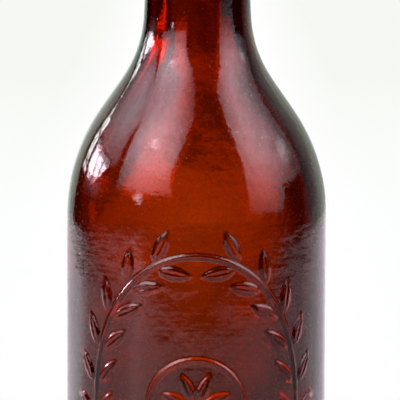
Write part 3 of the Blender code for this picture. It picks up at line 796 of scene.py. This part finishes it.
def make_washer():
    """The rubber ring, with its edges rounded and the seam of its mould round the middle."""
    inner, side = STUD_RADIUS + PLAY, WASHER_RADIUS - WASHER_SEAM
    middle = (WASHER_BOTTOM + WASHER_TOP) / 2
    foot, tip = WASHER_SEAM_HALVES
    edge_centre = WASHER_RADIUS - WASHER_EDGE - WASHER_SEAM
    top = arc(edge_centre, WASHER_TOP - WASHER_EDGE, WASHER_EDGE, 90.0, 0.0, WASHER_ROW)
    seam = [(side, middle + foot), (WASHER_RADIUS, middle + tip), (WASHER_RADIUS, middle - tip),
            (side, middle - foot)]
    low = arc(edge_centre, WASHER_BOTTOM + WASHER_EDGE, WASHER_EDGE, 0.0, -90.0, WASHER_ROW)
    hole = [(inner + WASHER_HOLE_EDGE, WASHER_BOTTOM), (inner, WASHER_BOTTOM + WASHER_HOLE_EDGE),
            (inner, WASHER_TOP - WASHER_HOLE_EDGE), (inner + WASHER_HOLE_EDGE, WASHER_TOP)]
    mesh = turned("washer", joined(top, seam, low, hole)[::-1])
    shade_smooth(mesh)
    placed("red_washer", mesh, rubber_material(), "stopper", "rubber_washer")


def make_closure():
    """The three wires, the stopper and its washer."""
    tin = wire_material("tinned_wire", TIN, TIN_ROUGHNESS)
    steel = wire_material("drawn_wire", STEEL, STEEL_ROUGHNESS)
    make_wire("neck_wire", NECK_WIRE, tin, "bottle")
    make_wire("lever", LEVER_WIRE, steel, "lever")
    make_wire("bail", LEVER_WIRE, steel, "bail")
    make_stopper()
    make_washer()


def make_camera():
    """The photograph's own view, slightly down on the front of the bottle."""
    target = Vector((AXIS_SHIFT, 0.0, PHOTO_CENTRE_HEIGHT))
    back = Vector((0.0, -math.cos(CAMERA_PITCH), math.sin(CAMERA_PITCH)))
    data = bpy.data.cameras.new("camera")
    data.sensor_width = SENSOR
    data.lens = SENSOR * CAMERA_DISTANCE / (PHOTO_SIDE * PIXEL)
    camera = new_object("camera", data)
    camera.location = target + CAMERA_DISTANCE * back
    turn = Euler((math.pi / 2 - CAMERA_PITCH, 0.0, 0.0)).to_matrix()
    roll = Euler((0.0, 0.0, CAMERA_ROLL)).to_matrix()
    camera.rotation_euler = (turn @ roll).to_euler()
    bpy.context.scene.camera = camera


# The studio, in degrees: azimuth from the camera's side towards +X, and elevation.
# Each light has two levels, one for what reflects it and one for what it adds to the light seen through the
# glass, and a form: its left, right, low and high edge; how soft they are; its brightest place; how far it
# spreads from there. A flare moves its sides apart from FLARE_FROM up, a rise lifts its low edge between two
# azimuths, and panes divide it by bars.
LEFT_BOX = dict(edges=(-78.0, -25.0, 13.5, 74.0), soft=1.0, flare=0.5)
RIGHT_BOX = dict(edges=(48.5, 116.0, 1.5, 68.0), soft=1.0, rise=(83.0, 87.0, 10.5))
LIGHTS = {
    "left softbox": (6.3, 14.805, dict(LEFT_BOX, at=(-55.0, 46.0), spread=(28.0, 22.0))),
    "right softbox": (4.2, 7.77, dict(RIGHT_BOX, at=(74.0, 43.0), spread=(25.0, 24.0))),
    "left screen": (3.2, 3.2, dict(edges=(-145.0, -87.0, 21.0, 72.0), soft=2.0, at=(-104.0, 50.0),
                                   spread=(24.0, 22.0))),
    "wide window": (15.0, 4.5, dict(edges=(-125.0, -98.0, 8.5, 19.8), soft=0.4, at=(-112.0, 15.0),
                                    spread=(40.0, 20.0), rise=(-110.0, -96.0, 9.0), panes=True)),
    "tall window": (8.5, 1.7, dict(edges=(-136.5, -128.5, 7.0, 25.0), soft=0.4, at=(-131.0, 16.0),
                                   spread=(7.0, 20.0), panes=True)),
    "low window": (0.0, 2.6, dict(edges=(-120.0, -112.5, -3.0, 5.0), soft=2.0, at=(-116.0, 2.0),
                                  spread=(40.0, 20.0))),
    "window sill": (0.5, 0.0, dict(edges=(-126.0, -98.0, 4.0, 10.0), soft=3.0, at=(-110.0, 8.0),
                                   spread=(10.0, 4.0))),
    "left glow": (0.0, 8.5, dict(LEFT_BOX, at=(-52.0, 22.0), spread=(26.0, 17.0))),
    "right glow": (0.0, 4.0, dict(RIGHT_BOX, at=(74.0, 18.0), spread=(25.0, 14.0))),
    "right lamp": (3.0, 0.0, dict(edges=(90.0, 110.0, 17.0, 31.0), soft=3.0, at=(100.0, 25.0),
                                  spread=(5.0, 3.5))),
    "hot lamp": (6.5, 0.0, dict(edges=(-57.0, -47.0, 37.0, 47.0), soft=1.0, at=(-52.0, 42.0),
                                spread=(2.5, 2.5))),
    "low lamp": (6.0, 0.0, dict(edges=(-58.0, -50.0, 8.0, 12.5), soft=1.0, at=(-54.0, 10.0),
                                spread=(4.0, 3.0))),
}
FALLOFF = -0.7
FLARE_FROM = 30.0
PANE = 9.5
BAR = (0.3, 1.2)
BAR_LEVEL = 0.15
LIGHT_COLOUR = (1.03, 0.91, 1.02)
# The walls: azimuths where each sets in and where it has its full level, that level, and where their colour
# shows
WALLS = ((-139.0, -143.0, 0.7), (-150.0, -168.0, 0.4), (110.0, 150.0, 0.62))
WALL_COLOUR = (0.86, 0.98, 0.87)
WALL_COLOUR_FROM = (126.0, 138.0)
# The unevenness of all that is lit, and its share of the light on dull surfaces
FOLDS = (9.0, 5.0)
FOLDS_LEVEL = (0.8, 1.2)
DIFFUSE_SHARE = 0.75

# What shows through the glass: the backdrop, brightest straight behind the bottle
SWEEP = 0.26
SWEEP_FROM = (100.0, 140.0)
SWEEP_SIDE = 0.64
SWEEP_SPREAD = 5.5
# Its level on the left and on the right, reached over SIDES_FROM, and where each ends: from, to, the rest
SIDES_FROM = (2.0, 12.0)
WALL_SIDES = ((2.1, (17.0, 36.0, 0.35)), (0.8, (17.0, 36.0, 0.35)))
FLOOR_SIDES = ((1.2, (16.0, 30.0, 0.25)), (0.75, (8.5, 13.0, 0.25)))
BACKDROP_COLOUR = (0.922, 0.939, 0.896)


def azimuth_of(tree, x, y):
    """In radians, from the camera's side towards +X."""
    return tree.math("ARCTAN2", x, tree.math("MULTIPLY", y, -1.0))


def spot(tree, azimuth, elevation, at, spread):
    """A soft round light, 1 at its brightest place."""
    aside = tree.math("MULTIPLY_ADD", azimuth, 1.0 / spread[0], -at[0] / spread[0])
    above = tree.math("MULTIPLY_ADD", elevation, 1.0 / spread[1], -at[1] / spread[1])
    away = tree.math("ADD", tree.math("MULTIPLY", aside, aside), tree.math("MULTIPLY", above, above))
    return tree.math("EXPONENT", tree.math("MULTIPLY", away, FALLOFF))


def panel(tree, azimuth, elevation, edges, soft, at, spread, flare=0.0, rise=None, panes=False):
    """A soft light between its edges, brightest at one place and fading from there."""
    left, right, low, high = edges
    wider = tree.math("MULTIPLY", tree.math("MAXIMUM", tree.math("ADD", elevation, -FLARE_FROM), 0.0), flare)
    from_left = tree.math("ADD", azimuth, wider)
    from_right = tree.math("SUBTRACT", azimuth, wider)
    from_low = elevation
    if rise:
        start, end, lift = rise
        from_low = tree.math("SUBTRACT", elevation, tree.ranged(azimuth, (start, end), (0.0, lift)))
    total = spot(tree, azimuth, elevation, at, spread)
    for value, edge, sides in ((from_left, left, (0.0, 1.0)), (from_right, right, (1.0, 0.0)),
                               (from_low, low, (0.0, 1.0)), (elevation, high, (1.0, 0.0))):
        total = tree.math("MULTIPLY", total, tree.ranged(value, (edge - soft, edge + soft), sides))
    if panes:
        for value in (azimuth, elevation):
            bar = tree.math("PINGPONG", value, PANE / 2)
            total = tree.math("MULTIPLY", total, tree.ranged(bar, BAR, (BAR_LEVEL, 1.0)))
    return total


def sweep_share(tree, across, ahead, sides):
    """How bright the backdrop is at a place seen from the bottle, against straight behind it."""
    aside = tree.math("DEGREES", tree.math("ARCTAN2", across, ahead))
    off = tree.math("MULTIPLY", aside, 1.0 / SWEEP_SPREAD)
    peak = tree.math("EXPONENT", tree.math("MULTIPLY", tree.math("MULTIPLY", off, off), -1.0))
    share = tree.math("MULTIPLY_ADD", peak, 1.0 - SWEEP_SIDE, SWEEP_SIDE)
    for towards, (level, (start, end, rest)) in zip((-1.0, 1.0), sides):
        side = tree.math("MULTIPLY", aside, towards)
        for span, reached in ((SIDES_FROM, level), ((start, end), rest)):
            share = tree.math("MULTIPLY", share, tree.ranged(side, span, (1.0, reached)))
    return share


def make_world():
    """The studio round the bottle: what the glass reflects, what shows through it, and the plain backdrop."""
    world = bpy.data.worlds.new("studio")
    bpy.context.scene.world = world
    tree = Tree(world)
    where = tree.add("TexCoord").outputs["Generated"]
    x, y, z = tree.split(where)
    azimuth = tree.math("DEGREES", azimuth_of(tree, x, y))
    elevation = tree.math("DEGREES", tree.math("ARCSINE", z))
    around = tree.math("ABSOLUTE", azimuth)
    behind = tree.ranged(around, SWEEP_FROM, (0.0, SWEEP))
    lit, through = 0.0, tree.math("MULTIPLY", behind, sweep_share(tree, x, y, WALL_SIDES))
    for reflected, passed, form in LIGHTS.values():
        light = panel(tree, azimuth, elevation, **form)
        if reflected:
            lit = tree.math("MULTIPLY_ADD", light, reflected, lit)
        if passed:
            through = tree.math("MULTIPLY_ADD", light, passed, through)
    for start, full, level in WALLS:
        ends = ((start, full), (0.0, level)) if start < full else ((full, start), (level, 0.0))
        lit = tree.math("ADD", lit, tree.ranged(azimuth, *ends))
    lit = tree.math("MULTIPLY", lit, tree.ranged(tree.clouds(where, *FOLDS), (0.3, 0.7), FOLDS_LEVEL))

    rays = tree.add("LightPath").outputs
    camera_ray = rays["Is Camera Ray"]
    total = tree.mix("FLOAT", rays["Is Transmission Ray"], lit, through)
    plain = tree.math("MULTIPLY_ADD", rays["Is Diffuse Ray"], DIFFUSE_SHARE - 1.0, 1.0)
    total = tree.math("MULTIPLY", total, plain)
    background = tree.nodes["Background"].inputs
    tree.put(tree.mix("FLOAT", camera_ray, total, 1.0), background["Strength"])
    walls = tree.ranged(around, WALL_COLOUR_FROM, (0.0, 1.0))
    light_colour = tree.mix("RGBA", walls, LIGHT_COLOUR, WALL_COLOUR)
    tree.put(tree.mix("RGBA", camera_ray, light_colour, BACKDROP_COLOUR), background["Color"])


# The floor, in metres: a half round in front, and straight sides to its back
FLOOR_REACH = 0.9
FLOOR_FRONT = 0.7
FLOOR_BACK = 8.0
FLOOR_CORNERS = 24
FLOOR_COLOUR = (0.80, 0.80, 0.79)
FLOOR_ROUGHNESS = 0.7
# The table, as far as it shows in the glass, by azimuth from the camera's side: how far it reaches, and how
# bright its cloth lies there. That brightness is painted light in the cloth's colour, with a painted sheen of
# the left softbox near -52
TABLE_EDGE = ((-180, 0.95), (-150, 0.85), (-130, 0.72), (-118, 0.68), (-95, 0.70), (-67, 0.70), (-51, 0.72),
              (-43, 0.62), (-35, 0.53), (-21, 0.48), (-7, 0.455), (8, 0.42), (23, 0.47), (38, 0.49),
              (53, 0.525), (70, 0.60), (86, 0.73), (102, 0.75), (117, 0.78), (133, 0.85), (151, 0.9),
              (180, 0.95))
TABLE_FADE = (0.86, 1.15)
TABLE_PAINTED_LIGHT = ((-180, 0.88), (-150, 0.88), (-135, 1.15), (-125, 1.2), (-107, 0.45), (-90, 0.47), (-62, 0.48),
               (-52, 0.85), (-42, 0.58), (-20, 0.54), (0, 0.45), (30, 0.38), (70, 0.40), (86, 0.42),
               (102, 0.48), (117, 0.76), (135, 0.95), (180, 0.95))
# The sweep as it shows through the glass, as a painted glow of the floor, by distance: dark at the bottle's
# foot in a painted shadow, bright, and dim far off; it sets in behind the bottle
GLOW_NEAR = (0.19, 0.83)
GLOW_FAR = (1.1, 3.4)
GLOW = 0.80
GLOW_NEAR_LEVEL = 0.0
GLOW_FAR_LEVEL = 0.3
GLOW_BEHIND = (0.05, 0.2)
# The sweep as the camera sees it, from a distance on: white near by, paler than white far off, and pure white
# round the bottle in a painted pool of light that widens to the back
PLAIN_FROM = (0.1, 0.22)
NEAR_WHITE = (0.973, 0.988, 0.978)
NEAR_TO_FAR = (0.85, 2.0)
WHITE = (1.0, 1.0, 1.0)
LIGHT_POOL_NEAR = 0.070
LIGHT_POOL_WIDENS = 0.012
LIGHT_POOL_EDGE = (0.7, 1.35)


def make_floor():
    """The white sweep: cloth to the light, with painted light of its own for camera, reflections and glass.
    """
    turns = steps_between(math.pi, 2 * math.pi, FLOOR_CORNERS)
    corners = [(FLOOR_REACH * math.cos(t), FLOOR_FRONT * math.sin(t), 0.0) for t in turns]
    corners += [(FLOOR_REACH, FLOOR_BACK, 0.0), (-FLOOR_REACH, FLOOR_BACK, 0.0)]
    mesh = bpy.data.meshes.new("floor")
    mesh.from_pydata(corners, [], [tuple(range(len(corners)))])
    floor = new_object("floor", mesh)
    material, tree, cloth = new_material("floor")
    rays = tree.add("LightPath").outputs
    glossy_ray = rays["Is Glossy Ray"]
    place = tree.add("NewGeometry").outputs["Position"]
    x, y, _ = tree.split(place)
    length = tree.add("VectorMath")
    length.operation = "LENGTH"
    tree.link(place, length.inputs[0])
    away = length.outputs["Value"]

    # The cloth, with painted light by azimuth in its colour, and its soft end, as reflections show them
    turn = tree.math("MULTIPLY_ADD", azimuth_of(tree, x, y), 0.5 / math.pi, 0.5)
    tree.put(FLOOR_ROUGHNESS, cloth["Roughness"])
    # Painted light: for reflections the cloth's colour is graded by azimuth, with a painted softbox sheen
    tree.put(tree.mix("RGBA", glossy_ray, FLOOR_COLOUR, tree.graded(turn, TABLE_PAINTED_LIGHT)), cloth["Base Color"])
    reach = tree.math("DIVIDE", away, tree.graded(turn, TABLE_EDGE))
    beyond = tree.math("MULTIPLY", tree.ranged(reach, TABLE_FADE, (0.0, 1.0)), glossy_ray)
    ended = tree.over(beyond, tree.nodes["Principled BSDF"], tree.add("BsdfTransparent"))

    # The white sweep as the camera sees it, with a painted pool of light round the bottle
    # Painted light: pure white in a pool round the bottle that widens to the back
    light_pool = tree.math("MULTIPLY_ADD", y, LIGHT_POOL_WIDENS, LIGHT_POOL_NEAR)
    off = tree.math("DIVIDE", tree.math("ABSOLUTE", x), light_pool)
    sweep = tree.mix("RGBA", tree.ranged(y, NEAR_TO_FAR, (1.0, 0.0)), BACKDROP_COLOUR, NEAR_WHITE)
    white = tree.add("Emission")
    tree.put(tree.mix("RGBA", tree.ranged(off, LIGHT_POOL_EDGE, (1.0, 0.0)), sweep, WHITE), white.inputs["Color"])
    plain = tree.math("MULTIPLY", tree.ranged(away, PLAIN_FROM, (0.0, 1.0)), rays["Is Camera Ray"])
    seen = tree.over(plain, ended, white)

    # The light that comes through the glass from behind
    # Painted glow for rays through the glass, with a painted shadow of the bottle near its foot
    near = tree.ranged(away, GLOW_NEAR, (GLOW_NEAR_LEVEL, 1.0))
    fading = tree.math("MULTIPLY", tree.ranged(away, GLOW_FAR, (1.0, GLOW_FAR_LEVEL)), GLOW)
    glow = tree.add("Emission")
    tree.put(tree.math("MULTIPLY", tree.math("MULTIPLY", near, fading), sweep_share(tree, x, y, FLOOR_SIDES)),
             glow.inputs["Strength"])
    behind = tree.ranged(y, GLOW_BEHIND, (0.0, 1.0))
    shown = tree.over(tree.math("MULTIPLY", behind, rays["Is Transmission Ray"]), seen, glow)
    tree.link(shown.outputs[0], tree.nodes["Material Output"].inputs["Surface"])
    mesh.materials.append(material)


def settings():
    """Enough bounces for light to pass both walls of the glass, in and out."""
    scene = bpy.context.scene
    scene.view_settings.view_transform = "Standard"
    scene.cycles.transmission_bounces = 16
    scene.cycles.max_bounces = 20


make_camera()
make_world()
make_floor()
make_glass()
make_closure()
settings()
